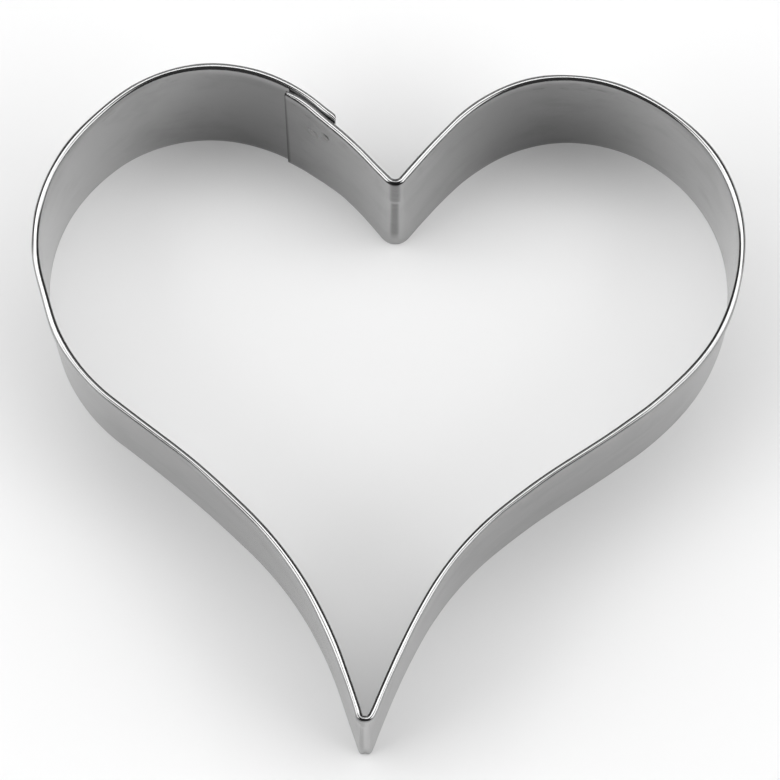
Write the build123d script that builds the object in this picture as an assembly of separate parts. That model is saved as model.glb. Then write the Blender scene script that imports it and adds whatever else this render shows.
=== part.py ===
from build123d import *
import os

# A heart shaped cookie cutter, bent from one strip of thin steel sheet.
# The cutting edge lies in the plane z = 0 and the hemmed rim is on top.
# The tip of the heart points to -Y, the notch and the two lobes to +Y.
# The origin is in the middle of the cutter's plan box, on the plane that it stands on.

# Strip, in millimetres
wall_height = 25.0
sheet = 0.3
hem_gap = 0.5
hem_height = 2.0

# Outline of the strip's middle plane, from side to side and from the tip to the lobes' tops.
# The middle of the cutter's box, hem included, lies this far from the outline's own middle.
outline_width = 100.3
outline_length = 95.4
box_middle_x = 0.085
box_middle_y = -0.106
notch_bend_radius = 1.9
tip_bend_radius = 0.98

# Directions in which the strip leaves the notch, in degrees above level
right_rise_angle = 55.0
left_rise_angle = 50.5

# Overlap of the two ends, on the left lobe beside the notch, measured along the strip.
# The inner end is tucked in behind the outer one: its wall lies on the outer wall up to a
# sloping shoulder, which takes it in until its hem clears the outer layer.
outer_end_run = 14.0
overlap = 8.4
tuck = 8.0
shoulder_height = 2.2
layer_gap = 0.08
hem_clearance = 0.06

# Spot welds in the overlap, each back from the outer end and down from the shoulder
weld_diameter = 2.2
weld_clearance = 0.02
weld_dimple = 0.06
first_weld_setback = 3.3
first_weld_drop = 4.0
second_weld_setback = 1.4
second_weld_drop = 1.7

# Places where one arc of the outline runs into the next, from the notch to the tip.
# They are shares of half the outline's width and of half its length. The notch and the tip
# are where the two sides would meet without the bends.
notch_shares = (0.013, 0.606)
tip_shares = (-0.001, -1.040)
right_place_shares = [
    (0.171, 0.831),
    (0.478, 0.997),
    (0.854, 0.847),
    (1.000, 0.417),
    (0.732, -0.044),
    (0.349, -0.364),
    (0.149, -0.645),
    (0.0697, -0.834),
]
left_place_shares = [
    (-0.178, 0.825),
    (-0.472, 0.973),
    (-0.839, 0.838),
    (-1.000, 0.417),
    (-0.754, -0.070),
    (-0.369, -0.383),
    (-0.158, -0.649),
    (-0.0763, -0.834),
]

# Shares of the tuck at which its sections stand, and share of the way in that each has moved
tuck_place_shares = [0.0, 0.25, 0.5, 0.75, 1.0]
tuck_depth_shares = [0.0, 0.15, 0.5, 0.85, 1.0]

half_width = outline_width / 2
half_length = outline_length / 2
half_sheet = sheet / 2
hem_thickness = 2 * sheet + hem_gap
fold_radius = hem_thickness / 2
fold_height = wall_height - fold_radius
hem_bottom = wall_height - hem_height
shoulder_bottom = hem_bottom - shoulder_height
lower_step = sheet + layer_gap
upper_step = hem_thickness + hem_clearance
inner_end_run = outer_end_run + overlap
tuck_start_run = outer_end_run - tuck


def place(shares):
    """A point of the outline, from its shares of half the width and half the length."""
    return Vector(shares[0] * half_width - box_middle_x, shares[1] * half_length - box_middle_y)


def half_outline(place_shares, heading):
    """The arcs of one side of the heart, from the notch to the tip, each tangent to the last."""
    shares = [notch_shares] + place_shares + [tip_shares]
    arcs = []
    for start, end in zip(shares, shares[1:]):
        arc = TangentArc(place(start), place(end), tangent=heading)
        heading = arc % 1
        arcs.append(arc)
    return arcs


right_rise = Vector(1, 0).rotate(Axis.Z, right_rise_angle)
left_rise = Vector(-1, 0).rotate(Axis.Z, -left_rise_angle)
right_side = Wire(half_outline(right_place_shares, right_rise))
left_side = Wire(half_outline(left_place_shares, left_rise))


def strip_path():
    """The strip's middle line, from its outer end by tip, right side and notch to the tuck."""
    length = left_side.length
    outer_run = left_side.trim(outer_end_run / length, 1)
    inner_run = left_side.trim(0, tuck_start_run / length)
    path = Wire(outer_run.edges() + right_side.edges() + inner_run.edges())
    for shares, radius in ((tip_shares, tip_bend_radius), (notch_shares, notch_bend_radius)):
        corner = path.vertices().sort_by_distance(place(shares))[0]
        path = path.fillet_2d(radius, [corner])
    return path


def strip_section(lower_move=0.0, upper_move=0.0):
    """Cross-section of the strip, outward along x and up along y, with its hem folded outward.

    The moves push the lower wall and the hem outward, with a sloping shoulder between them.
    """
    lower_in = lower_move - half_sheet
    lower_out = lower_move + half_sheet
    upper_in = upper_move - half_sheet
    upper_out = upper_move + half_sheet
    leaf_out = upper_in + hem_thickness
    leaf_in = leaf_out - sheet
    fold_middle = upper_in + fold_radius
    outline = [
        Line((lower_in, 0), (lower_in, shoulder_bottom)),
        Line((lower_in, shoulder_bottom), (upper_in, hem_bottom)),
        Line((upper_in, hem_bottom), (upper_in, fold_height)),
        ThreePointArc((upper_in, fold_height), (fold_middle, wall_height), (leaf_out, fold_height)),
        Line((leaf_out, fold_height), (leaf_out, hem_bottom)),
        Line((leaf_out, hem_bottom), (leaf_in, hem_bottom)),
        Line((leaf_in, hem_bottom), (leaf_in, fold_height)),
        ThreePointArc((leaf_in, fold_height), (fold_middle, wall_height - sheet), (upper_out, fold_height)),
        Line((upper_out, fold_height), (upper_out, hem_bottom)),
        Line((upper_out, hem_bottom), (lower_out, shoulder_bottom)),
        Line((lower_out, shoulder_bottom), (lower_out, 0)),
        Line((lower_out, 0), (lower_in, 0)),
    ]
    return Face(Wire(outline))


def section_plane(run, height=0.0):
    """Plane across the left side, this far from the notch, whose x points outward and y points up."""
    position = run / left_side.length
    towards_tip = left_side.tangent_at(position)
    outward = towards_tip.cross(Vector(0, 0, 1))
    origin = left_side.position_at(position) + Vector(0, 0, height)
    return Plane(origin=origin, x_dir=outward, z_dir=-towards_tip)


def swept_strip():
    """The strip from its outer end, all the way round, to the start of the tuck."""
    return sweep(section_plane(outer_end_run) * strip_section(), path=strip_path())


def strip_tuck():
    """The stretch beside the notch over which the strip steps in behind its own outer end."""
    sections = []
    for place_share, depth_share in zip(tuck_place_shares, tuck_depth_shares):
        section = strip_section(-depth_share * lower_step, -depth_share * upper_step)
        sections.append(section_plane(tuck_start_run + place_share * tuck) * section)
    return loft(sections)


def inner_layer():
    """The strip's inner end, which lies behind its outer end."""
    length = left_side.length
    path = left_side.trim(outer_end_run / length, inner_end_run / length)
    return sweep(section_plane(outer_end_run) * strip_section(-lower_step, -upper_step), path=path)


def weld_discs(radius, end_inset):
    """A disc through both layers at each weld, whose ends are this far in from the outer faces."""
    thickness = lower_step + sheet - 2 * end_inset
    discs = []
    for setback, drop in (
        (first_weld_setback, first_weld_drop),
        (second_weld_setback, second_weld_drop),
    ):
        across = section_plane(outer_end_run + setback, shoulder_bottom - drop)
        centre = across.origin - across.x_dir * lower_step / 2
        discs.append(Plane(origin=centre, z_dir=across.x_dir) * Cylinder(radius, thickness))
    return discs


def cutter_band():
    """The whole strip as one solid, without the metal that the welds melted."""
    round_from_outer_end = swept_strip()
    behind_outer_end = inner_layer()
    for hole in weld_discs(weld_diameter / 2 + weld_clearance, -sheet):
        round_from_outer_end -= hole
        behind_outer_end -= hole
    return round_from_outer_end + strip_tuck() + behind_outer_end


def weld_nuggets():
    """The welds, as discs that fill the holes and end in a shallow dimple on each face."""
    return Compound(children=weld_discs(weld_diameter / 2, weld_dimple))


os.makedirs("parts", exist_ok=True)
export_step(cutter_band(), "parts/cutter_band.step")
export_step(weld_nuggets(), "parts/weld_nuggets.step")
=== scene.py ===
"""A heart shaped cookie cutter, bent from one hemmed strip of bright steel sheet.

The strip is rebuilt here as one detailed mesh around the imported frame: its hem, the lap of its
two ends, the welds that hold them and the small dents that bending left in it. Everything is in
metres, in the frame's own axes.
"""

import math

import bpy
import numpy as np
from bpy.props import FloatProperty, FloatVectorProperty, PointerProperty
from bpy.types import Operator, Panel, PropertyGroup
from mathutils import Matrix, Vector, noise


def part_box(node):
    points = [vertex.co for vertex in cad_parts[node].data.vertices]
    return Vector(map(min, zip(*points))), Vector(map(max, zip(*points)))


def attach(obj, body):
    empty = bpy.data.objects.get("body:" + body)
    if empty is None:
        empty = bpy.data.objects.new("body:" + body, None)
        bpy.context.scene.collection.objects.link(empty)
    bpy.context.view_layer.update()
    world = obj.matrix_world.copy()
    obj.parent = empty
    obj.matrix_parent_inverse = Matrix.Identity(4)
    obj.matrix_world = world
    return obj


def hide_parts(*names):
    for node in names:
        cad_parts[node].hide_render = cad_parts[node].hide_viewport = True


bl_info = {
    "name": "Heart cookie cutter",
    "version": (1, 0, 0),
    "blender": (4, 5, 0),
    "location": "View3D > Sidebar > Cookie cutter",
    "description": "Builds a hemmed, bent and spot welded heart cutter around its frame",
    "category": "Object",
}

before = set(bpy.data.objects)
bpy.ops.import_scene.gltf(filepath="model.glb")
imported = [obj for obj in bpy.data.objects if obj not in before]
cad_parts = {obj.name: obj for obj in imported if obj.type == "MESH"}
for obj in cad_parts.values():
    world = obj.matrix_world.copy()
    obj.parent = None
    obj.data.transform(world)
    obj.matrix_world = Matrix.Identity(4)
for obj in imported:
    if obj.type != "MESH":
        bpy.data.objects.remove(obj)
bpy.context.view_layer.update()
BAND_LOW, BAND_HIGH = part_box("cutter_band")

MM = 0.001

# Outline of the strip's middle plane, as shares of half its width and half its length: the
# corners where the two sides would meet, and the places where one arc runs into the next.
NOTCH = (0.013, 0.606)
TIP = (-0.001, -1.040)
RIGHT_PLACES = [
    (0.171, 0.831), (0.478, 0.997), (0.854, 0.847), (1.000, 0.417),
    (0.732, -0.044), (0.349, -0.364), (0.149, -0.645), (0.0697, -0.834),
]
LEFT_PLACES = [
    (-0.178, 0.825), (-0.472, 0.973), (-0.839, 0.838), (-1.000, 0.417),
    (-0.754, -0.070), (-0.369, -0.383), (-0.158, -0.649), (-0.0763, -0.834),
]

# How bending and springing back moved the strip: distance from the notch along each side, then
# how far the rim and the cutting edge lie outward of the smooth outline, all in millimetres.
RIGHT_MOVES = [
    (0, 0.3, -0.4), (10, 0.1, -0.7), (18, -0.2, -1.3), (25, -0.1, -1.2), (35, 0.0, -0.5),
    (45, -0.2, 0.0), (60, 0.0, 0.3), (75, -0.1, 0.1), (85, -0.1, -0.1), (95, -0.4, -0.3),
    (107, 0.3, 0.2), (120, -0.1, -0.1), (155, 0.0, 0.0), (163, 0.0, 0.2),
]
LEFT_MOVES = [
    (0, 0.3, -0.4), (9, -0.3, -0.6), (20, 0.3, -1.6), (33, 0.3, -1.8), (41, 0.0, -1.5),
    (50, -0.5, -0.8), (66, 0.1, 0.3), (76, 0.0, 0.2), (82, -0.4, -0.2), (88, -0.1, 0.0),
    (104, 0.2, 0.0), (116, -0.1, 0.0), (128, 0.1, 0.2), (142, 0.0, 0.2), (158, -0.4, 0.0),
    (163, -0.3, 0.0),
]
# The outer layer's extra swing outward at its rim, and the inner layer's step inward at its rim and
# its foot, all in millimetres, by distance from the notch along the left side.
OUTER_SWING = [(13.0, 0.62), (14.5, 0.45), (16.0, 0.18), (18.0, 0.05), (20.0, 0.0), (30.0, 0.0)]
INNER_STEP = [
    (0.0, 0.0, 0.0), (4.0, 0.0, 0.0), (9.0, 0.0, 0.0), (12.0, -0.36, -0.05),
    (14.0, -0.72, -0.22), (16.0, -1.02, -0.36), (19.0, -1.14, -0.38), (24.0, -1.16, -0.38),
]

# How finely the centre line is drawn, and how its two corners are bent
LINE_STEP = 0.05 * MM
LEAST_ARC_POINTS = 8
NOTCH_TANGENT = 1.31  # tangent of half the angle through which the strip turns at the notch
HEADING_ROWS = 4  # over which the line's direction is taken, each side of a corner
ROUND_STEPS = 121
CHAMFER_STEPS = 60
NOSE_DEPTH = 0.40  # share of the way from the bend's chord to the sharp corner
CHAMFER_START = 0.26  # share of the way from the bend's end to the sharp corner
EASE_ROWS = 60  # of the line before and after the tip, so that the easing runs into it
EASE_STEP = 0.02 * MM
EASE_WIDTH = 0.16 * MM
EASE_TAPS = 22
NOSE_LEAN = 0.30 * MM  # how much less the foot stands out than the rim, in the middle of the nose
NOSE_SHARE = 0.15

# Spacing of the mesh's stations where it is finer than the user's, and how far from each end.
# The line's turning and the stations' density are averaged over these numbers of rows.
FINEST_SPACING = 0.06 * MM
TURN_PER_STATION = math.radians(4.0)
LAP_SPACING = 0.22 * MM
END_SPACING = 0.08 * MM
OUTER_END_REACH = 1.2 * MM
INNER_END_REACH = 0.8 * MM
TURNING_ROWS = 9
DENSITY_ROWS = 41

# Rows of the cross-section: heights up the wall in millimetres, numbers of rows, and the
# rounding of the sheet's edges as shares of its thickness
WALL_STEP = 0.8
PLAIN_WALL = 20.0
CLOSER_FROM = 20.2
BELOW_HEM = 0.1 * MM
CLOSER_ROWS = 8
HEM_ROWS = 5
LEAF_ROWS = 4
FOLD_ROWS = 21
INSIDE_ROWS = 13
EDGE_ROUND = 0.22
EDGE_MIDDLE = 0.3

# Unevenness that bending left in the sheet: depth, length and seed of each wave, then how the
# waves fade towards the foot, the rim and the hem, and where the rim's own drop sets in
WALL_WAVES = ((0.045 * MM, 14 * MM, 3.1), (0.016 * MM, 5 * MM, 7.7))
LEAF_WAVE = (0.16 * MM, 8 * MM, 11.3)
RIM_WAVE = (0.05 * MM, 9 * MM, 5.5)
LEAF_PRESS = 0.05 * MM
FOOT_FADE = 2 * MM
RIM_FADE = 3 * MM
PAST_RIM = 1 * MM
HEM_FADE = 0.3 * MM
DROP_START = 1.5 * MM
DROP_FADE = 2 * MM

# The hem's rounded corner at the outer end, and the pinched hem at the inner end
LAP_FINISH = 1.4  # both are shaped within this share of the lap's length from each end
CORNER_REACH = 1.6 * MM
CORNER_PRESS = 0.22
CORNER_DROP = 0.12 * MM
CORNER_CUT = 0.75 * MM
PINCH_REACH = 2.2 * MM
PINCH_POWER = 1.5
PINCH_PRESS = 0.30
PINCH_DROP = 0.10 * MM
SLANT_REACH = 4 * MM

# Spot welds: the dimple's edge and slope as shares of the weld's radius, and the button's shape
DIMPLE_EDGE = 1.25
DIMPLE_SLOPE = 0.5
WELD_ROWS = 6  # of the line each side of a weld, over which its direction is taken
WELD_PROUD = 0.01 * MM
WELD_DISH = 0.012 * MM
WELD_EDGE = 0.03 * MM
WELD_FLARE = 1.02
WELD_RINGS = 7
WELD_TURNS = 40

# Painted reflection on the inner face, by place across the heart in millimetres: painted shade at
# the lobes' tops and a painted sheen at the sides. Each shaded place has a middle, a spread and a
# strength. The bright sides have a start, a rise and a strength. The tone comes in from a place up
# the heart, and it ends where the fold begins round the cross-section.
PAINTED_SHADE_PLACES = ((-19, 11, 0.36), (21, 10, 0.31))
PAINTED_SHEEN_SIDES = (28, 14, 0.34)
TONE_FROM = -5
TONE_RISE = 20
FOLD_TOP = 24.4 * MM
FOLD_FADE = 1.5 * MM

# Painted shade along the bends at the notch and the tip: half its width in millimetres, and its
# strength
NOTCH_BEND_SHADE = (0.50, 1.0)
TIP_BEND_SHADE = (0.40, 0.55)
MIDDLE_REACH = 6 * MM
WIDER_BY = 0.22
WIDER_FROM = 17 * MM
WIDER_RISE = 2 * MM
BEND_SHADE_FROM = 1 * MM
BEND_SHADE_RISE = 5 * MM
BEND_SHADE_HIGHLIGHT = (17.6 * MM, 0.35 * MM, 0.8)  # painted highlight line across the bend shade: height, half height and share of the shade that it takes away

# Painted shade: beside the inner end's cut, in millimetres at the rim and more towards the foot, and
# on the outer layer's inner face where the two hems stand close together. Scuffs lie below the rim.
CUT_SHADE_WIDTH = 0.22
CUT_SHADE_WIDER = 0.30
CUT_SHADE_STRENGTH = 1.4
SHADE_LENGTH = 7.4 * MM
SHADE_END = 0.8 * MM
SHADE_FROM = 19 * MM
SHADE_TOP = 24.55 * MM
SHADE_TOP_FADE = 0.2 * MM
SHADE_GIRTH = 24.9 * MM
SHADE_STRENGTH = 0.75
SCUFF_HEIGHT = 22.6 * MM
SCUFF_REACH = 2.2 * MM

# Patterns in the steel: scale, detail, roughness, and stretch along, round and up the strip
GRAIN = (900.0, 3.0, 0.6, (0.05, 6.0, 6.0))
BLOTCHES = (110.0, 5.0, 0.62, (1.0, 1.0, 1.0))
FLECKS = (900.0, 4.0, 0.6, (0.45, 1.0, 1.0))
PATCHES = (140.0, 3.0, 0.5, (1.0, 0.4, 0.4))
# What each pattern is ranged from and to, as low, high, low result and high result
FLECK_SCUFFS = (0.52, 0.64, 0.0, 0.9)
PATCH_SCUFFS = (0.42, 0.60, 0.0, 1.0)
FLECK_BEND_SHADE = (0.2, 0.6, 0.7, 1.0)
BLOTCH_DULLNESS = (0.48, 0.76, 0.0, 0.38)
RIM_HEIGHTS = (0.0240, 0.0246, 0.0, 1.0)
GRAIN_LOW, GRAIN_HIGH = 0.3, 0.7
GRAIN_ROUGHNESS = 0.05
DULL_ROUGHNESS = 0.05
BEND_SHADE_DARKNESS = 0.60
# colour of the painted shade along the bends and in the lap's gaps
PAINTED_SHADE_COLOUR = (0.10, 0.10, 0.10, 1)
GRAIN_BUMP = (0.12, 0.00004)  # strength and distance
WELD_GRAIN = (2600.0, 3.0)
WELD_ROUGHNESS = (0.0, 1.0, 0.34, 0.52)
WELD_BUMP = (0.25, 0.00003)

# Sockets of a mix node: its share, its two colours or numbers, and its results
MIX_SHARE, MIX_COLOURS, MIX_COLOUR = 0, (6, 7), 2
MIX_NUMBERS, MIX_NUMBER = (2, 3), 0

# Stage: for each lamp its name, angle round from +X, angle up, width and height in metres, and
# radiance, then the room's light, the table, the camera's sensor in millimetres and its range
LAMPS = (
    ("overhead", 90, 74, 1.50, 0.42, 3.8),
    ("left_side", 190, 34, 0.80, 0.80, 3.2),
    ("right_side", 350, 34, 0.80, 0.80, 2.9),
    ("back", 90, 40, 0.90, 0.30, 1.2),
)
ROOM_LIGHT = 0.07
TABLE_REACH = 3.0
TABLE_DROP = 0.02 * MM
SENSOR_WIDTH = 36.0
NEAREST_SEEN, FARTHEST_SEEN = 0.01, 20.0


# Sizes and finishes that a user would change


class BandSizes(PropertyGroup):
    """Sizes of the bent and hemmed strip."""

    outline_width: FloatProperty(
        name="Outline width", description="Width of the strip's middle line",
        default=0.1003, unit="LENGTH", precision=5)
    outline_length: FloatProperty(
        name="Outline length", description="Length of the middle line, tip to lobes",
        default=0.0954, unit="LENGTH", precision=5)
    box_middle: FloatVectorProperty(
        name="Box middle", description="Where the frame's origin lies in the outline",
        size=2, default=(0.000085, -0.000106), subtype="TRANSLATION", precision=6)
    sheet: FloatProperty(
        name="Sheet", description="Thickness of the steel sheet",
        default=0.0003, unit="LENGTH", precision=5)
    hem_gap: FloatProperty(
        name="Hem gap", description="Space left inside the folded hem",
        default=0.0005, unit="LENGTH", precision=5)
    hem_height: FloatProperty(
        name="Hem height", description="How far down the folded leaf reaches",
        default=0.002, unit="LENGTH", precision=5)
    right_rise: FloatProperty(
        name="Right rise", description="Angle above level at which the right lobe leaves the notch",
        default=math.radians(55.0), subtype="ANGLE")
    left_rise: FloatProperty(
        name="Left rise", description="Angle above level at which the left lobe leaves the notch",
        default=math.radians(50.5), subtype="ANGLE")
    notch_bend: FloatProperty(
        name="Notch bend", description="Radius of the bend at the notch",
        default=0.0019, unit="LENGTH", precision=5)
    tip_nose: FloatProperty(
        name="Tip nose", description="Width of the short flat at the heart's tip",
        default=0.0009, unit="LENGTH", precision=5)
    tip_cut: FloatProperty(
        name="Tip cut", description="How far before the sharp corner the tip's bend begins",
        default=0.0029, unit="LENGTH", precision=5)
    spacing: FloatProperty(
        name="Spacing", description="Distance between the mesh's stations along the strip",
        default=0.0006, unit="LENGTH", precision=5)


class LapSizes(PropertyGroup):
    """Where the strip's two ends lie over each other, and their spot welds."""

    outer_end: FloatProperty(
        name="Outer end", description="Distance from the notch to the outer layer's end",
        default=0.0140, unit="LENGTH", precision=5)
    inner_end: FloatProperty(
        name="Inner end", description="Distance from the notch to the inner layer's end",
        default=0.0226, unit="LENGTH", precision=5)
    inner_slant: FloatProperty(
        name="Inner slant", description="How much shorter the inner layer is at its foot",
        default=0.0008, unit="LENGTH", precision=5)
    weld_diameter: FloatProperty(
        name="Weld diameter", description="Diameter of each spot weld",
        default=0.0022, unit="LENGTH", precision=5)
    weld_dimple: FloatProperty(
        name="Weld dimple", description="Depth to which the electrodes pressed the sheet",
        default=0.000035, unit="LENGTH", precision=6)
    first_weld: FloatVectorProperty(
        name="First weld", description="Distance from the notch, and height, of the first weld",
        size=2, default=(0.0172, 0.0172), precision=5)
    second_weld: FloatVectorProperty(
        name="Second weld", description="Distance from the notch, and height, of the second weld",
        size=2, default=(0.0152, 0.0194), precision=5)


class SteelFinish(PropertyGroup):
    """Looks of the rolled steel sheet."""

    steel_colour: FloatVectorProperty(
        name="Steel", description="Colour of the clean sheet",
        size=3, default=(0.36, 0.36, 0.36), subtype="COLOR")
    # this colour also carries part of the painted shade along the bends
    stain_colour: FloatVectorProperty(
        name="Stain", description="Colour where the sheet is dull or fingered",
        size=3, default=(0.20, 0.20, 0.20), subtype="COLOR")
    weld_colour: FloatVectorProperty(
        name="Weld", description="Colour of the heated metal at the welds",
        size=3, default=(0.335, 0.333, 0.328), subtype="COLOR")
    wall_roughness: FloatProperty(
        name="Wall roughness", description="Roughness of the rolled wall",
        default=0.20, min=0.0, max=1.0, subtype="FACTOR")
    rim_roughness: FloatProperty(
        name="Rim roughness", description="Roughness of the rim, polished by the folding rollers",
        default=0.16, min=0.0, max=1.0, subtype="FACTOR")


class StudioLook(PropertyGroup):
    """Camera, lamps and table."""

    focal_length: FloatProperty(
        name="Focal length", description="Lens, in millimetres on a 36 mm sensor",
        default=203.08, precision=2)
    distance: FloatProperty(
        name="Distance", description="From the camera to the point it looks at",
        default=0.62345, unit="LENGTH", precision=5)
    azimuth: FloatProperty(
        name="Azimuth", description="Turn of the camera to the right of the heart's tip",
        default=math.radians(2.2683), subtype="ANGLE")
    elevation: FloatProperty(
        name="Elevation", description="Camera's angle above the table",
        default=math.radians(73.4273), subtype="ANGLE")
    roll: FloatProperty(
        name="Roll", description="Turn of the camera about its own axis",
        default=math.radians(0.4546), subtype="ANGLE")
    aim: FloatVectorProperty(
        name="Aim", description="Point in the middle of the picture",
        size=3, default=(0.001142, -0.000458, 0.025), subtype="TRANSLATION", precision=6)
    lamp_level: FloatProperty(
        name="Lamp level", description="Scale of all the lamps", default=0.90, min=0.0)
    table_colour: FloatVectorProperty(
        name="Table", description="Colour of the table top",
        size=3, default=(0.90, 0.90, 0.90), subtype="COLOR")
    table_glow: FloatProperty(
        name="Table glow", description="Share of plain white in the table, where it is seen",
        default=0.15, min=0.0, max=1.0, subtype="FACTOR")


# The strip's centre line


def tangent_arc(start, heading, end, step):
    """Points on the arc that leaves start along heading and reaches end, and its last heading."""
    chord = end - start
    angle = math.atan2(heading[0] * chord[1] - heading[1] * chord[0], heading @ chord)
    span = math.hypot(*chord)
    length = span if abs(angle) < 1e-6 else span * angle / math.sin(angle)
    count = max(LEAST_ARC_POINTS, int(length / step))
    first = math.atan2(heading[1], heading[0])
    middle = first + np.linspace(0, 2 * angle, 2 * count + 1)[1::2]
    steps = np.stack([np.cos(middle), np.sin(middle)], 1)
    points = start + np.cumsum(steps, 0) * span / math.hypot(*steps.sum(0))
    last = first + 2 * angle
    return points, np.array([math.cos(last), math.sin(last)])


def side_line(places, heading, sizes):
    """One side of the heart as points from the notch's sharp corner to the tip's."""
    half = np.array([sizes.outline_width, sizes.outline_length]) / 2
    middle = np.array(sizes.box_middle)
    spots = [np.array(p) * half - middle for p in [NOTCH, *places, TIP]]
    points = [spots[0][None]]
    for start, end in zip(spots, spots[1:]):
        arc, heading = tangent_arc(start, heading, end, LINE_STEP)
        points.append(arc)
    return np.concatenate(points)


def run_along(points):
    """Distance of each point from the first, along the line."""
    return np.concatenate([[0.0], np.cumsum(np.hypot(*np.diff(points, axis=0).T))])


def unit(vector):
    """A vector's direction, with a length of 1."""
    return vector / math.hypot(*vector)


def averaged(values, count, mode):
    """Running average over this many values."""
    return np.convolve(values, np.ones(count) / count, mode)


def smooth_table(table, column, at):
    """A table's column, in millimetres, as a smooth curve through its rows."""
    rows = np.array(table, float)
    x, y = rows[:, 0], rows[:, column]
    slope = np.gradient(y, x)
    i = np.clip(np.searchsorted(x, at) - 1, 0, len(x) - 2)
    h = x[i + 1] - x[i]
    t = np.clip((at - x[i]) / h, 0, 1)
    return (
        (2 * t**3 - 3 * t**2 + 1) * y[i]
        + (t**3 - 2 * t**2 + t) * h * slope[i]
        + (3 * t**2 - 2 * t**3) * y[i + 1]
        + (t**3 - t**2) * h * slope[i + 1]
    )


def table_moves(table, run):
    """The rim's and the foot's moves outward from a table, at distances from the notch."""
    return np.array([smooth_table(table, column, run / MM) * MM for column in (1, 2)])


def strip_rows(points, moves, side, run):
    """Rows for a stretch of the strip, as CentreLine holds them."""
    return np.column_stack([points, *moves, np.full(len(run), side), run])


def round_corner(before, meeting, after, weight):
    """Points of an arc from before to after, tangent to the lines that meet in the corner."""
    share = np.linspace(0, 1, ROUND_STEPS)[1:-1, None]
    pull = 2 * weight * share * (1 - share)
    top = (1 - share) ** 2 * before + pull * meeting + share**2 * after
    return top / ((1 - share) ** 2 + pull + share**2)


def blunt_corner(before, meeting, after, nose, lead, trail):
    """Points of a corner with two chamfers and a short flat nose between them, all eased."""
    middle = (before + after) / 2
    flat = middle + (meeting - middle) * NOSE_DEPTH
    half_nose = unit(after - before) * nose / 2
    corners = [
        before, before + (meeting - before) * CHAMFER_START, flat - half_nose,
        flat + half_nose, after + (meeting - after) * CHAMFER_START, after,
    ]
    shares = np.linspace(0, 1, CHAMFER_STEPS, endpoint=False)[:, None]
    runs = [start + (end - start) * shares for start, end in zip(corners, corners[1:])]
    line = np.concatenate([lead, *runs, after[None], trail])
    run = run_along(line)
    even = np.arange(0, run[-1], EASE_STEP)
    taps = np.arange(-EASE_TAPS, EASE_TAPS + 1)
    weights = np.exp(-0.5 * (taps * EASE_STEP / EASE_WIDTH) ** 2)
    weights /= weights.sum()
    eased = []
    for axis in (0, 1):
        padded = np.pad(np.interp(even, run, line[:, axis]), len(taps) // 2, "edge")
        eased.append(np.convolve(padded, weights, "valid"))
    eased = np.stack(eased, 1)
    start, stop = (np.argmin(np.hypot(*(eased - end).T)) for end in (before, after))
    return eased[start + 1:stop]


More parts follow.
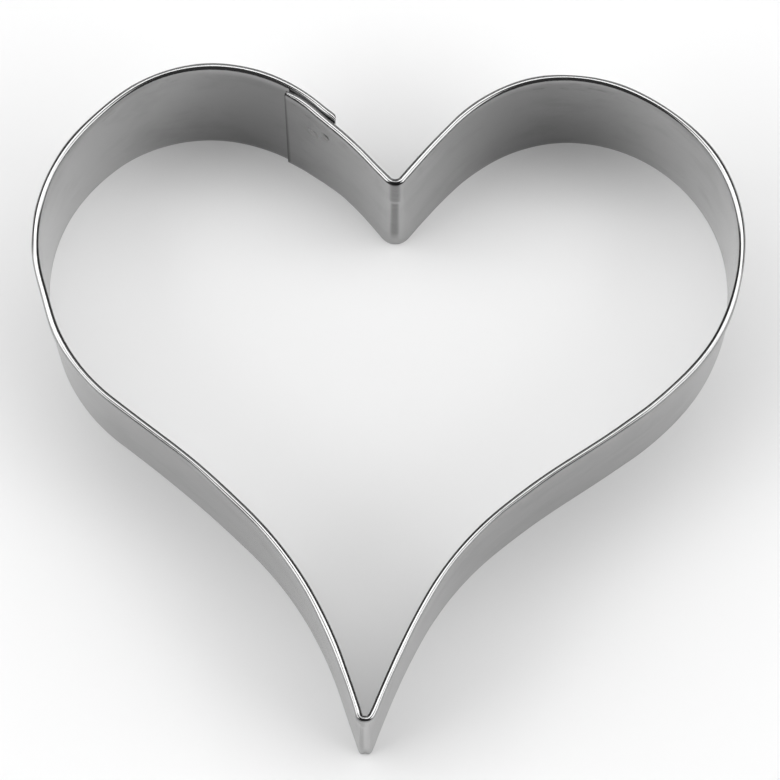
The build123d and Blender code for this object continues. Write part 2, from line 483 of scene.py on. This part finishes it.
class CentreLine:
    """The strip from its outer end, by the tip and the right side, to its inner end.

    Each row holds a point of the strip: x, y, the rim's and the foot's moves outward, the side
    (0 is left, 1 is right) and the distance from the notch along that side.
    """

    def __init__(self, sizes, lap):
        right_heading = np.array([math.cos(sizes.right_rise), math.sin(sizes.right_rise)])
        left_heading = np.array([-math.cos(sizes.left_rise), math.sin(sizes.left_rise)])
        right = side_line(RIGHT_PLACES, right_heading, sizes)
        left = side_line(LEFT_PLACES, left_heading, sizes)
        right_run, left_run = run_along(right), run_along(left)
        left_moves = table_moves(LEFT_MOVES, left_run)
        swing = smooth_table(OUTER_SWING, 1, left_run / MM) * MM
        outer_moves = left_moves + np.stack([swing, np.zeros_like(swing)])
        inner_moves = left_moves + table_moves(INNER_STEP, left_run)
        outer_part = strip_rows(left, outer_moves, 0, left_run)[left_run >= lap.outer_end]
        right_part = strip_rows(right, table_moves(RIGHT_MOVES, right_run), 1, right_run)[::-1]
        inner_part = strip_rows(left, inner_moves, 0, left_run)[left_run <= lap.inner_end]
        self.rows = np.concatenate([outer_part, right_part[1:], inner_part[1:]])
        tip_at = len(outer_part) - 1
        notch_at = tip_at + len(right_part) - 1
        # the notch comes first, because a bend changes the number of rows before what follows it
        self.bend(notch_at, sizes.notch_bend * NOTCH_TANGENT)
        self.bend(tip_at, sizes.tip_cut, sizes.tip_nose)

    def bend(self, corner, cut, nose=None):
        """Bends the sharp corner, from cut before it to cut after it. A nose makes a short flat."""
        rows = self.rows
        run = run_along(rows[:, :2])
        first = np.searchsorted(run, run[corner] - cut)
        last = np.searchsorted(run, run[corner] + cut)
        before, after = rows[first], rows[last]
        heading_in = unit(before[:2] - rows[first - HEADING_ROWS, :2])
        heading_out = unit(rows[last + HEADING_ROWS, :2] - after[:2])
        headings = np.column_stack([heading_in, heading_out])
        reach = np.linalg.solve(headings, after[:2] - before[:2])[0]
        meeting = before[:2] + heading_in * reach
        if nose is None:
            half_turn = math.acos(float(heading_in @ heading_out)) / 2
            points = round_corner(before[:2], meeting, after[:2], math.cos(half_turn))
        else:
            lead = rows[first - EASE_ROWS:first, :2]
            trail = rows[last + 1:last + 1 + EASE_ROWS, :2]
            points = blunt_corner(before[:2], meeting, after[:2], nose, lead, trail)
        share = np.linspace(0, 1, len(points) + 2)[1:-1]
        moves = before[2:4] + (after[2:4] - before[2:4]) * share[:, None]
        if nose is not None:
            # the foot's nose stands out less than its shoulders
            moves[:, 1] -= NOSE_LEAN * np.exp(-(((share - 0.5) / NOSE_SHARE) ** 2))
        side = np.where(np.arange(len(points)) < len(points) // 2, before[4], after[4])
        place = before[5] + (after[5] - before[5]) * share
        new = np.column_stack([points, moves, side, place])
        self.rows = np.concatenate([rows[:first + 1], new, rows[last:]])

    def stations(self, spacing, fine):
        """Distances, rows and headings along the strip, closer at bends and where fine asks."""
        rows = self.rows
        run = run_along(rows[:, :2])
        along = np.gradient(rows[:, :2], run, axis=0)
        heading = np.unwrap(np.arctan2(along[:, 1], along[:, 0]))
        turning = averaged(np.abs(np.gradient(heading, run)), TURNING_ROWS, "same")
        bend_spacing = np.maximum(FINEST_SPACING, TURN_PER_STATION / (turning + 1e-9))
        density = 1 / np.minimum(spacing, bend_spacing)
        for low, high, step in fine:
            inside = (run >= low) & (run <= high)
            density = np.where(inside, np.maximum(density, 1 / step), density)
        density = averaged(np.pad(density, DENSITY_ROWS // 2, "edge"), DENSITY_ROWS, "valid")
        total = np.concatenate([[0], np.cumsum((density[1:] + density[:-1]) / 2 * np.diff(run))])
        at = np.interp(np.linspace(0, total[-1], int(total[-1]) + 1), total, run)
        columns = [np.interp(at, run, column) for column in rows.T]
        return at, np.stack(columns, 1), np.interp(at, run, heading)


# The strip's cross-section


def section_points(sizes, height):
    """Cross-section as (outward, up) rows: up the inner face, over the fold and back outside."""
    half = sizes.sheet / 2
    thick = 2 * sizes.sheet + sizes.hem_gap
    fold = thick / 2
    fold_height = height - fold
    hem_foot = height - sizes.hem_height
    ease = sizes.sheet * EDGE_ROUND
    part = ease * EDGE_MIDDLE
    # heights of the rows up the wall, which lie closer under the hem, and behind the hem
    wall = list(np.arange(WALL_STEP, PLAIN_WALL, WALL_STEP) * MM)
    wall += list(np.linspace(CLOSER_FROM * MM, hem_foot - BELOW_HEM, CLOSER_ROWS))
    wall = [z for z in wall if z < hem_foot]
    upper = list(np.linspace(hem_foot, fold_height, HEM_ROWS)[:-1])
    rows = [(-half + ease, 0.0), (-half + part, part), (-half, ease)]
    rows += [(-half, z) for z in wall + upper]
    # over the top and down the folded leaf
    middle = -half + fold
    for a in np.linspace(math.pi, 0, FOLD_ROWS):
        rows.append((middle + fold * math.cos(a), fold_height + fold * math.sin(a)))
    leaf_out = -half + thick
    leaf_in = leaf_out - sizes.sheet
    down = np.linspace(hem_foot + ease, fold_height, HEM_ROWS)[:-1][::-1]
    rows += [(leaf_out, z) for z in down]
    # round the leaf's edge and up inside the fold
    rows += [(leaf_out - part, hem_foot + part), (leaf_out - ease, hem_foot)]
    rows += [(leaf_in + ease, hem_foot), (leaf_in + part, hem_foot + part)]
    rows += [(leaf_in, z) for z in np.linspace(hem_foot + ease, fold_height, LEAF_ROWS)[:-1]]
    inside = fold - sizes.sheet
    for a in np.linspace(0, math.pi, INSIDE_ROWS):
        rows.append((middle + inside * math.cos(a), fold_height + inside * math.sin(a)))
    # down the wall's outer face
    rows += [(half, z) for z in reversed(wall + upper[:1] + upper[2:3])]
    rows += [(half, ease), (half - part, part), (half - ease, 0.0)]
    return np.array(rows)


def ease_step(x):
    """0 below 0, 1 above 1, and a smooth rise between."""
    x = np.clip(x, 0, 1)
    return x * x * (3 - 2 * x)


def waviness(run, height, wave):
    """Soft unevenness of this depth, length and seed, at a place on the strip."""
    depth, length, seed = wave
    return depth * noise.noise(Vector((run / length, height / length, seed)))


class StripShape:
    """The strip's cross-section, and how it is bent, waved and finished at each station."""

    def __init__(self, sizes, lap, height):
        self.lap, self.height, self.hem_height = lap, height, sizes.hem_height
        self.hem_foot = height - sizes.hem_height
        self.section = section_points(sizes, height)
        self.out, self.up = self.section.T
        self.from_inside = self.out + sizes.sheet / 2
        self.across = self.from_inside / (2 * sizes.sheet + sizes.hem_gap)
        self.in_hem = ease_step((self.up - self.hem_foot + HEM_FADE) / HEM_FADE)

    def bent(self, run, rim_move, foot_move):
        """Outward and upward places of the section, with the strip's lean and waves."""
        out = self.out + foot_move + (rim_move - foot_move) * self.up / self.height
        wave = np.array([sum(waviness(run, up, wave) for wave in WALL_WAVES) for up in self.up])
        hold = ease_step(self.up / FOOT_FADE)
        hold *= ease_step((self.height + PAST_RIM - self.up) / RIM_FADE)
        leaf_wave = waviness(run, 0.0, LEAF_WAVE) - LEAF_PRESS
        out += wave * hold + leaf_wave * np.clip(self.across, 0, 1) ** 2 * self.in_hem
        drop = (RIM_WAVE[0] + waviness(run, 0.0, RIM_WAVE)) / 2
        up = self.up - drop * ease_step((self.up - self.hem_foot + DROP_START) / DROP_FADE)
        return out, up

    def outer_corner(self, near):
        """Moves out, up and along that round the hem's corner, this far from the outer end."""
        close = max(0.0, 1 - near / CORNER_REACH) ** 2 * self.in_hem
        return (
            -CORNER_PRESS * close * self.from_inside,
            -CORNER_DROP * close,
            CORNER_CUT * close * self.across**2,
        )

    def inner_pinch(self, near):
        """Moves out, up and along that pinch the hem and slant the cut, near the inner end."""
        pinch = max(0.0, 1 - near / PINCH_REACH) ** PINCH_POWER
        in_hem = self.up >= self.hem_foot - 1e-6
        slant = self.lap.inner_slant * ease_step(1 - near / SLANT_REACH)
        return (
            -PINCH_PRESS * pinch * self.from_inside * in_hem,
            -PINCH_DROP * pinch * ease_step((self.up - self.hem_foot) / self.hem_height),
            -slant * (1 - self.up / self.height),
        )

    def dimples(self, place):
        """How deep the welds press the wall, at a station this far from the notch."""
        depth = np.zeros(len(self.up))
        for centre_run, centre_up in (self.lap.first_weld, self.lap.second_weld):
            span = np.hypot(place - centre_run, self.up - centre_up) / (self.lap.weld_diameter / 2)
            depth += self.lap.weld_dimple * ease_step((DIMPLE_EDGE - span) / DIMPLE_SLOPE)
        return depth * (self.up < self.hem_foot)


def strip_mesh(sizes, lap):
    """The band's points, their distances along, round and up the strip, its section and length."""
    shape = StripShape(sizes, lap, BAND_HIGH.z - BAND_LOW.z)
    line = CentreLine(sizes, lap)
    length = run_along(line.rows[:, :2])[-1]
    lap_length = lap.inner_end - lap.outer_end
    at, rows, heading = line.stations(sizes.spacing, [
        (0, lap_length, LAP_SPACING),
        (length - lap_length, length, LAP_SPACING),
        (0, OUTER_END_REACH, END_SPACING),
        (length - INNER_END_REACH, length, END_SPACING),
    ])
    # the strip travels with the inside of the heart on its left
    outward = np.stack([np.sin(heading), -np.cos(heading)], 1)
    along = np.stack([np.cos(heading), np.sin(heading)], 1)
    girth = run_along(shape.section)
    spots = np.zeros((len(at), len(girth), 3))
    coords = np.zeros_like(spots)
    for i, (x, y, rim_move, foot_move, side, place) in enumerate(rows):
        out, up = shape.bent(at[i], rim_move, foot_move)
        shift = np.zeros_like(out)
        for moves, near, pressed_face in (
            (shape.outer_corner, at[i], shape.out > 0),
            (shape.inner_pinch, length - at[i], shape.out < 0),
        ):
            if near > lap_length * LAP_FINISH:
                continue
            move_out, move_up, move_along = moves(near)
            out, up, shift = out + move_out, up + move_up, shift + move_along
            if side == 0:
                out -= np.sign(shape.out) * pressed_face * shape.dimples(place)
        spots[i, :, :2] = (x, y) + np.outer(out, outward[i]) + np.outer(shift, along[i])
        spots[i, :, 2] = np.clip(up, 0, shape.height)
        coords[i] = np.column_stack([np.full(len(girth), at[i]), girth, shape.up])
    for axis in (0, 1):
        spots[:, :, axis] = np.clip(spots[:, :, axis], BAND_LOW[axis], BAND_HIGH[axis])
    return spots, coords, shape.section, length


def painted_reflection_tone(spots, coords):
    """Painted reflection at each point: inside, painted shade darkens the lobes' tops and a painted
    sheen brightens the sides.
    """
    x, y = spots[:, :, 0] / MM, spots[:, :, 1] / MM
    # painted shade where the inner face runs across the lobes' tops
    dullness_and_shade = sum(
        strength * np.exp(-(((x - middle) / spread) ** 2))
        for middle, spread, strength in PAINTED_SHADE_PLACES
    )
    # painted sheen on the inner face at the heart's sides
    start, rise, strength = PAINTED_SHEEN_SIDES
    painted_sheen = strength * ease_step((np.abs(x) - start) / rise)
    in_lobes = ease_step((y - TONE_FROM) / TONE_RISE)
    inner_face = ease_step((FOLD_TOP - coords[:, :, 1]) / FOLD_FADE)
    return 1 + (painted_sheen - dullness_and_shade) * in_lobes * inner_face


def painted_bend_shade(spots, coords):
    """How much painted shade along the bend at the notch or the tip each point has, with a painted
    highlight line across it.
    """
    at, up = coords[:, :, 0], coords[:, :, 2]
    # the bends are at the line's lowest points near the heart's middle
    x, y = spots[:, 0, 0], spots[:, 0, 1]
    middle = np.abs(x) < MIDDLE_REACH
    break_at, break_reach, break_share = BEND_SHADE_HIGHLIGHT
    bend_shade = np.zeros_like(at)
    # painted shade down the middle of each bend, lighter where the painted highlight line crosses it
    for part, (width, strength) in ((y > 0, NOTCH_BEND_SHADE), (y <= 0, TIP_BEND_SHADE)):
        bend_at = at[np.argmin(np.where(part & middle, y, 1)), 0]
        width_here = (width + WIDER_BY * ease_step((up - WIDER_FROM) / WIDER_RISE)) * MM
        mark = strength * np.exp(-(((at - bend_at) / width_here) ** 4))
        mark *= ease_step((up - BEND_SHADE_FROM) / BEND_SHADE_RISE)
        painted_highlight_line = np.exp(-(((up - break_at) / break_reach) ** 2))
        bend_shade = np.maximum(bend_shade, mark * (1 - break_share * painted_highlight_line))
    return bend_shade


def painted_gap_shade(coords, length):
    """How much painted shade each point has: in the gap beside the inner end's cut, and in the narrow
    gap between the hems at the lap.
    """
    at, girth, up = coords[:, :, 0], coords[:, :, 1], coords[:, :, 2]
    width = (CUT_SHADE_WIDTH + CUT_SHADE_WIDER * (1 - up / up.max())) * MM
    # painted shade beside the inner end's cut, wider towards the foot
    cut = np.clip(CUT_SHADE_STRENGTH - (length - at) / width, 0, 1)
    # painted shade on the outer layer's inner face, between the two hems
    between = ease_step((SHADE_LENGTH - at) / SHADE_END) * ease_step((up - SHADE_FROM) / MM)
    between *= ease_step((SHADE_TOP - up) / SHADE_TOP_FADE) * (girth < SHADE_GIRTH)
    return np.maximum(cut, SHADE_STRENGTH * between)


def shade_and_scuffs(spots, coords, length):
    """For each point: how much painted shade along a bend, how much painted shade in the lap's gaps,
    and how much scuffing below the rim it has.
    """
    scuffs = np.clip(1 - np.abs(coords[:, :, 2] - SCUFF_HEIGHT) / SCUFF_REACH, 0, 1)
    return np.stack([painted_bend_shade(spots, coords), painted_gap_shade(coords, length), scuffs], 2)


def grid_faces(count, around):
    """Quads round each station to the next, for closed rings of points."""
    faces = []
    for i in range(count - 1):
        for j in range(around):
            k = (j + 1) % around
            here, there = i * around, (i + 1) * around
            faces.append((here + j, here + k, there + k, there + j))
    return faces


def end_cap(section, base, flip):
    """Faces that close one end of the strip: its two skins, zipped to each other."""
    around = len(section)
    # the first skin ends at the leaf's outer lower corner, and the second runs back from there
    outermost = section[:, 0].max()
    turn = [i for i in range(around) if outermost - section[i, 0] < 0.11 * MM][-1]
    left = list(range(turn + 1))
    right = list(range(around - 1, turn, -1))
    left_run, right_run = (run_along(section[skin]) for skin in (left, right))
    left_run /= left_run[-1]
    right_run /= right_run[-1]
    faces = []
    i = j = 0
    while i < len(left) - 1 or j < len(right) - 1:
        if j == len(right) - 1 or (i < len(left) - 1 and left_run[i + 1] <= right_run[j + 1]):
            face = (left[i], left[i + 1], right[j])
            i += 1
        else:
            face = (left[i], right[j + 1], right[j])
            j += 1
        face = tuple(base + v for v in face)
        faces.append(face[::-1] if flip else face)
    return faces


def new_piece(name, vertices, faces, material, smooth=True):
    """A mesh object in the scene, with its material and shading."""
    mesh = bpy.data.meshes.new(name)
    mesh.from_pydata([tuple(v) for v in vertices], [], faces)
    mesh.validate()
    mesh.polygons.foreach_set("use_smooth", [smooth] * len(mesh.polygons))
    mesh.materials.append(material)
    mesh.update()
    piece = bpy.data.objects.new(name, mesh)
    bpy.context.scene.collection.objects.link(piece)
    return piece


# Materials


class Tree:
    """A new material with an empty node tree, and short ways to fill it."""

    def __init__(self, name):
        self.material = bpy.data.materials.new(name)
        self.material.use_nodes = True
        self.nodes = self.material.node_tree.nodes
        self.links = self.material.node_tree.links
        self.nodes.clear()

    def add(self, kind, inputs=None, **settings):
        """A node with these settings. Each input takes a plain value or another node's result."""
        node = self.nodes.new("ShaderNode" + kind)
        for name, value in settings.items():
            setattr(node, name, value)
        for key, value in (inputs or {}).items():
            if isinstance(value, bpy.types.NodeSocket):
                self.links.new(value, node.inputs[key])
            else:
                node.inputs[key].default_value = value
        return node

    def finish(self, surface):
        """The finished material, which shows this surface."""
        self.add("OutputMaterial", {"Surface": surface})
        return self.material

    def attribute(self, name, output):
        """One of the values that the mesh carries at its points."""
        node = self.add("Attribute", attribute_name=name, attribute_type="GEOMETRY")
        return node.outputs[output]

    def maths(self, operation, a, b):
        """Two numbers put together."""
        return self.add("Math", {0: a, 1: b}, operation=operation).outputs["Value"]

    def ranged(self, value, low, high, to_low, to_high):
        """A number carried from one range to another."""
        return self.add("MapRange", {
            "Value": value, "From Min": low, "From Max": high, "To Min": to_low, "To Max": to_high,
        }).outputs["Result"]

    def pattern(self, place, scale, detail, rough, stretch):
        """Noise that follows the strip, stretched along, round and up it."""
        mapping = self.add("Mapping", {"Vector": place, "Scale": stretch})
        return self.add("TexNoise", {
            "Vector": mapping.outputs["Vector"], "Scale": scale, "Detail": detail, "Roughness": rough,
        }).outputs["Fac"]

    def mixed(self, share, first, second):
        """Two colours mixed by a share."""
        values = dict(zip((MIX_SHARE, *MIX_COLOURS), (share, first, second)))
        return self.add("Mix", values, data_type="RGBA").outputs[MIX_COLOUR]

    def bump(self, height, strength, distance):
        """A surface's direction, roughened by a height."""
        return self.add("Bump", {
            "Height": height, "Strength": strength, "Distance": distance}).outputs["Normal"]


def steel_dullness_and_shade(tree, place, near):
    """How dull the sheet is, from blotches and scuffs, with the painted shade along the bends; and
    that painted bend shade alone.
    """
    blotches = tree.pattern(place, *BLOTCHES)
    flecks = tree.pattern(place, *FLECKS)
    patches = tree.pattern(place, *PATCHES)
    scuff = tree.maths("MULTIPLY", tree.ranged(flecks, *FLECK_SCUFFS), near.outputs["Z"])
    scuff = tree.maths("MULTIPLY", scuff, tree.ranged(patches, *PATCH_SCUFFS))
    # painted shade along the bends, broken up by the flecks
    bend_shade = tree.maths("MULTIPLY", near.outputs["X"], tree.ranged(flecks, *FLECK_BEND_SHADE))
    marks = tree.maths("MAXIMUM", scuff, bend_shade)
    return tree.maths("MAXIMUM", tree.ranged(blotches, *BLOTCH_DULLNESS), marks), bend_shade


def steel_shade(tree, finish, dullness_and_shade, bend_shade, near):
    """The sheet's colour: duller in blotches and scuffs, with painted shade at the bends and in the
    lap's gaps, scaled by the painted reflection tone.
    """
    colour = tree.mixed(dullness_and_shade, (*finish.steel_colour, 1), (*finish.stain_colour, 1))
    # painted shade: along the bends, and in the lap's gaps
    dark = tree.maths("MULTIPLY", bend_shade, BEND_SHADE_DARKNESS)
    dark = tree.maths("MAXIMUM", near.outputs["Y"], dark)
    colour = tree.mixed(dark, colour, PAINTED_SHADE_COLOUR)
    # the painted reflection tone: painted shade at the lobes' tops, painted sheen at the sides
    tone = tree.attribute("painted_reflection", "Fac")
    return tree.add("VectorMath", {0: colour, "Scale": tone}, operation="SCALE").outputs["Vector"]


def steel_roughness(tree, finish, place, grain, dullness_and_shade):
    """Roughness of the grained wall and of the polished rim."""
    height = tree.add("SeparateXYZ", {"Vector": place}).outputs["Z"]
    low, high = finish.wall_roughness - GRAIN_ROUGHNESS, finish.wall_roughness + GRAIN_ROUGHNESS
    wall = tree.ranged(grain, GRAIN_LOW, GRAIN_HIGH, low, high)
    wall = tree.maths("ADD", wall, tree.maths("MULTIPLY", dullness_and_shade, DULL_ROUGHNESS))
    rim = tree.ranged(height, *RIM_HEIGHTS)
    first, second = MIX_NUMBERS
    mix = tree.add("Mix", {
        MIX_SHARE: rim, first: wall, second: finish.rim_roughness}, data_type="FLOAT")
    return mix.outputs[MIX_NUMBER]


def steel_material(finish):
    """Rolled bright steel: fine grain along the strip, dull blotches, a polished rim, and painted
    shade and reflection in its colour.
    """
    tree = Tree("bright_steel")
    place = tree.attribute("strip_place", "Vector")
    # painted bend shade, painted gap shade and scuffs, as x, y and z
    near = tree.add("SeparateXYZ", {"Vector": tree.attribute("shade_and_scuffs", "Vector")})
    grain = tree.pattern(place, *GRAIN)
    dullness_and_shade, bend_shade = steel_dullness_and_shade(tree, place, near)
    shader = tree.add("BsdfPrincipled", {
        "Metallic": 1.0,
        "Base Color": steel_shade(tree, finish, dullness_and_shade, bend_shade, near),
        "Roughness": steel_roughness(tree, finish, place, grain, dullness_and_shade),
        "Normal": tree.bump(grain, *GRAIN_BUMP),
    }, distribution="MULTI_GGX")
    return tree.finish(shader.outputs["BSDF"])


def weld_material(finish):
    """Metal that was melted and pressed: a little darker and rougher than the sheet."""
    tree = Tree("weld_metal")
    scale, detail = WELD_GRAIN
    grain = tree.add("TexNoise", {"Scale": scale, "Detail": detail}).outputs["Fac"]
    shader = tree.add("BsdfPrincipled", {
        "Metallic": 1.0,
        "Base Color": (*finish.weld_colour, 1),
        "Roughness": tree.ranged(grain, *WELD_ROUGHNESS),
        "Normal": tree.bump(grain, *WELD_BUMP),
    })
    return tree.finish(shader.outputs["BSDF"])


def table_material(look):
    """A white table top that stays pale where it is seen, and still takes shadows."""
    tree = Tree("table_top")
    diffuse = tree.add("BsdfDiffuse", {"Color": (*look.table_colour, 1)})
    glow = tree.add("Emission", {"Strength": 1.0})
    path = tree.add("LightPath")
    seen = path.outputs["Is Camera Ray"]
    for name in ("Is Glossy Ray", "Is Transmission Ray"):
        seen = tree.maths("MAXIMUM", seen, path.outputs[name])
    share = tree.maths("MULTIPLY", seen, look.table_glow)
    mix = tree.add("MixShader", {
        0: share, 1: diffuse.outputs["BSDF"], 2: glow.outputs["Emission"]})
    return tree.finish(mix.outputs["Shader"])


# Operators


def give_points(piece, name, kind, field, values):
    """Adds values to a piece's points, for its material to read."""
    attribute = piece.data.attributes.new(name, kind, "POINT")
    attribute.data.foreach_set(field, values.reshape(-1).astype(np.float32))


class CUTTER_OT_band(Operator):
    """Build the bent, hemmed and lapped strip"""

    bl_idname = "cookie_cutter.band"
    bl_label = "Build the band"

    def execute(self, context):
        sizes, lap = context.scene.cutter_band_sizes, context.scene.cutter_lap_sizes
        spots, coords, section, length = strip_mesh(sizes, lap)
        count, around = spots.shape[:2]
        faces = grid_faces(count, around)
        faces += end_cap(section, 0, False)
        faces += end_cap(section, (count - 1) * around, True)
        steel = steel_material(context.scene.cutter_finish)
        piece = new_piece("hemmed_band", spots.reshape(-1, 3), faces, steel)
        marks = shade_and_scuffs(spots, coords, length)
        give_points(piece, "strip_place", "FLOAT_VECTOR", "vector", coords)
        give_points(piece, "shade_and_scuffs", "FLOAT_VECTOR", "vector", marks)
        give_points(piece, "painted_reflection", "FLOAT", "value", painted_reflection_tone(spots, coords))
        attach(piece, "root")
        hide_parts("cutter_band")
        return {"FINISHED"}


def layer_at(rows, weld, height):
    """The middle of one layer of the lap at a weld, and the direction outward there."""
    centre_run, centre_up = weld
    j = np.argmin(np.abs(rows[:, 5] - centre_run) + (rows[:, 4] != 0))
    ahead = rows[min(j + WELD_ROWS, len(rows) - 1), :2]
    step = unit(ahead - rows[max(j - WELD_ROWS, 0), :2])
    outward = Vector((step[1], -step[0], 0))
    move = rows[j, 3] + (rows[j, 2] - rows[j, 3]) * centre_up / height
    return Vector((*rows[j, :2], centre_up)) + outward * move, outward


def weld_button(centre, across, radius, reach, name, material):
    """A pressed spot weld: a thin round button whose two faces are slightly dished."""
    side = Vector((-across.y, across.x, 0)).normalized()
    up = Vector((0, 0, 1))
    profile = []
    for r in np.linspace(0, 1, WELD_RINGS):
        profile.append((r * radius, reach - WELD_DISH * (1 - r * r)))
    profile.append((radius * WELD_FLARE, reach - WELD_EDGE))
    profile += [(r, -h) for r, h in reversed(profile)]
    vertices = []
    for r, h in profile[1:-1]:
        for t in range(WELD_TURNS):
            a = 2 * math.pi * t / WELD_TURNS
            vertices.append(centre + across * h + side * (r * math.cos(a)) + up * (r * math.sin(a)))
    loops = len(profile) - 2
    faces = grid_faces(loops, WELD_TURNS)
    first = len(vertices)
    last = (loops - 1) * WELD_TURNS
    vertices.append(centre + across * profile[0][1])
    vertices.append(centre + across * profile[-1][1])
    for t in range(WELD_TURNS):
        u = (t + 1) % WELD_TURNS
        faces.append((first, u, t))
        faces.append((first + 1, last + t, last + u))
    return new_piece(name, vertices, faces, material)


class CUTTER_OT_welds(Operator):
    """Set the spot welds that hold the strip's two ends together"""

    bl_idname = "cookie_cutter.welds"
    bl_label = "Set the spot welds"

    def execute(self, context):
        sizes, lap = context.scene.cutter_band_sizes, context.scene.cutter_lap_sizes
        height = BAND_HIGH.z - BAND_LOW.z
        rows = CentreLine(sizes, lap).rows
        half = len(rows) // 2
        material = weld_material(context.scene.cutter_finish)
        for number, weld in enumerate((lap.first_weld, lap.second_weld)):
            outer, outward = layer_at(rows[:half], weld, height)
            inner, _ = layer_at(rows[half:], weld, height)
            reach = (outer - inner).length / 2 + sizes.sheet / 2 - lap.weld_dimple + WELD_PROUD
            piece = weld_button(
                (outer + inner) / 2, outward, lap.weld_diameter / 2, reach,
                f"spot_weld_{number + 1}", material)
            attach(piece, "root")
            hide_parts("weld_nuggets")
        return {"FINISHED"}


def facing(right, up, back, place):
    """A placement with these directions, for a lamp or a camera that looks away from back."""
    return Matrix((
        (right.x, up.x, back.x, place.x),
        (right.y, up.y, back.y, place.y),
        (right.z, up.z, back.z, place.z),
        (0, 0, 0, 1),
    ))


def soft_lamp(name, turn, rise, width, tall, radiance):
    """A rectangular soft light a metre away, at an angle round from +X and an angle up."""
    turn, rise = math.radians(turn), math.radians(rise)
    place = Vector((
        math.cos(turn) * math.cos(rise), math.sin(turn) * math.cos(rise), math.sin(rise)))
    lamp = bpy.data.lights.new(name, "AREA")
    lamp.shape = "RECTANGLE"
    lamp.size, lamp.size_y = width, tall
    lamp.energy = math.pi * width * tall * radiance
    holder = bpy.data.objects.new(name, lamp)
    side = Vector((-math.sin(turn), math.cos(turn), 0))
    holder.matrix_world = facing(side, place.cross(side), place, place)
    bpy.context.scene.collection.objects.link(holder)


def set_table(look):
    """The table top on which the cutter stands."""
    height = BAND_LOW.z - TABLE_DROP
    corners = ((-1, -1), (1, -1), (1, 1), (-1, 1))
    vertices = [(x * TABLE_REACH, y * TABLE_REACH, height) for x, y in corners]
    table = new_piece("table", vertices, [(0, 1, 2, 3)], table_material(look), False)


def set_lamps(scene, look):
    """The faint light of the room, and the soft lamps."""
    world = bpy.data.worlds.new("studio")
    scene.world = world
    world.use_nodes = True
    background = world.node_tree.nodes["Background"]
    background.inputs["Color"].default_value = (ROOM_LIGHT, ROOM_LIGHT, ROOM_LIGHT, 1)
    background.inputs["Strength"].default_value = 1.0
    for name, turn, rise, width, tall, radiance in LAMPS:
        soft_lamp(name, turn, rise, width, tall, radiance * look.lamp_level)


def set_camera(scene, look):
    """The camera, at the place that was fitted to the photo."""
    camera = bpy.data.cameras.new("camera")
    camera.sensor_width = SENSOR_WIDTH
    camera.lens = look.focal_length
    camera.clip_start, camera.clip_end = NEAREST_SEEN, FARTHEST_SEEN
    holder = bpy.data.objects.new("camera", camera)
    scene.collection.objects.link(holder)
    scene.camera = holder
    turn, rise = look.azimuth, look.elevation
    back = Vector((
        math.sin(turn) * math.cos(rise), -math.cos(turn) * math.cos(rise), math.sin(rise)))
    right = Vector((math.cos(turn), math.sin(turn), 0))
    up = back.cross(right)
    right, up = (
        right * math.cos(look.roll) + up * math.sin(look.roll),
        up * math.cos(look.roll) - right * math.sin(look.roll),
    )
    holder.matrix_world = facing(right, up, back, Vector(look.aim) + back * look.distance)


class CUTTER_OT_stage(Operator):
    """Set the table, the lamps and the camera"""

    bl_idname = "cookie_cutter.stage"
    bl_label = "Set the stage"

    def execute(self, context):
        scene, look = context.scene, context.scene.cutter_studio
        set_table(look)
        set_lamps(scene, look)
        set_camera(scene, look)
        scene.view_settings.view_transform = "Standard"
        return {"FINISHED"}


class CUTTER_PT_panel(Panel):
    """Lists the steps that build the cutter"""

    bl_idname = "CUTTER_PT_panel"
    bl_label = "Cookie cutter"
    bl_space_type = "VIEW_3D"
    bl_region_type = "UI"
    bl_category = "Cookie cutter"

    def draw(self, context):
        for operator in STEPS:
            self.layout.operator(operator.bl_idname)
        for name in GROUPS:
            box = self.layout.box()
            group = getattr(context.scene, name)
            for key in group.__annotations__:
                box.prop(group, key)


STEPS = (CUTTER_OT_band, CUTTER_OT_welds, CUTTER_OT_stage)
GROUPS = {
    "cutter_band_sizes": BandSizes,
    "cutter_lap_sizes": LapSizes,
    "cutter_finish": SteelFinish,
    "cutter_studio": StudioLook,
}
CLASSES = (*GROUPS.values(), *STEPS, CUTTER_PT_panel)


def register():
    for cls in CLASSES:
        bpy.utils.register_class(cls)
    for name, group in GROUPS.items():
        setattr(bpy.types.Scene, name, PointerProperty(type=group))


def unregister():
    for name in GROUPS:
        delattr(bpy.types.Scene, name)
    for cls in reversed(CLASSES):
        bpy.utils.unregister_class(cls)


def main():
    register()
    bpy.ops.cookie_cutter.band()
    bpy.ops.cookie_cutter.welds()
    bpy.ops.cookie_cutter.stage()


if __name__ == "__main__":
    main()
